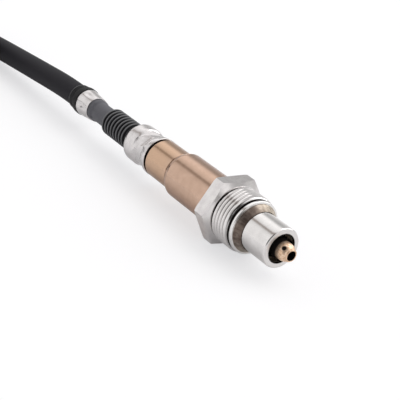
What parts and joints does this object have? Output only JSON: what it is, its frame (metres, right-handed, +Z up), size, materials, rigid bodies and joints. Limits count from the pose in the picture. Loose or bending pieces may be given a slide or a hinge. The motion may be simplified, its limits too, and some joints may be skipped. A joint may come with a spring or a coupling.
{
  "type": "particulate matter sensor",
  "caption": "Exhaust particulate matter sensor: steel probe tip, swivelling threaded union nut with hexagon, heat-tinted body, rubber boot and a hose that ends in a plug.",
  "frame": {"origin": "on the floor under the middle of the rigid sensor, from the tip of its nozzle to the end of its hose cuff", "axes": "the sensor's axis lies along Y, with its tip towards -Y and its hose towards +Y; +Z is up"},
  "size_m": [0.1254, 0.2974, 0.022],
  "materials": {
    "tip_bronze": "warm heat-tinted steel, half gloss",
    "tube_steel": "bright drawn stainless steel",
    "housing_steel": "turned stainless steel, brown heat tint",
    "nut_steel": "turned steel with a fine screw thread",
    "body_copper": "copper-coloured heat tint on smooth steel",
    "crimp_steel": "bright steel, creased by the crimping tool",
    "boot_rubber": "dull dark rubber",
    "ferrule_steel": "pressed steel with dents",
    "ring_rubber": "black rubber",
    "hose_plastic": "black protective hose, half matt",
    "white_ceramic": "unglazed fired ceramic",
    "pressed_powder": "pressed mineral powder",
    "contact_metal": "plated spring metal",
    "spring_steel": "bright spring steel",
    "wire_cover": "smooth wire insulation",
    "seal_rubber": "soft red-brown sealing rubber",
    "plug_plastic": "moulded black plastic",
    "lock_plastic": "moulded grey plastic"
  },
  "bodies": {
    "sensor": {"sensor_housing": "housing_steel", "outer_protection_tube": "tube_steel", "inner_protection_tube": "tip_bronze", "body_sleeve": "body_copper", "crimp_sleeve": "crimp_steel", "cable_boot": "boot_rubber", "rear_ferrule": "ferrule_steel", "hose_end_ring": "ring_rubber", "hose_cuff": "ring_rubber", "front_ceramic_bush": "white_ceramic", "sealing_powder": "pressed_powder", "rear_ceramic_bush": "white_ceramic", "support_ring": "spring_steel", "sensing_element": "white_ceramic", "contact_holder_upper": "white_ceramic", "contact_holder_lower": "white_ceramic", "spring_clamp": "spring_steel", "contact_springs": "contact_metal", "lead_wires": "wire_cover", "wire_seal": "seal_rubber", "hose_lead": "hose_plastic", "hose_coil": "hose_plastic", "hose_tail": "hose_plastic", "connector_gland": "plug_plastic", "connector_housing": "plug_plastic", "connector_seal": "seal_rubber", "connector_lock": "lock_plastic", "connector_terminals": "contact_metal"},
    "nut": {"union_nut": "nut_steel"}
  },
  "joints": [
    {"name": "nut_swivel", "type": "hinge", "parent": "sensor", "child": "nut", "pos_m": [0, -0.03905, 0.011], "axis": [0, 1, 0], "continuous": true}
  ]
}
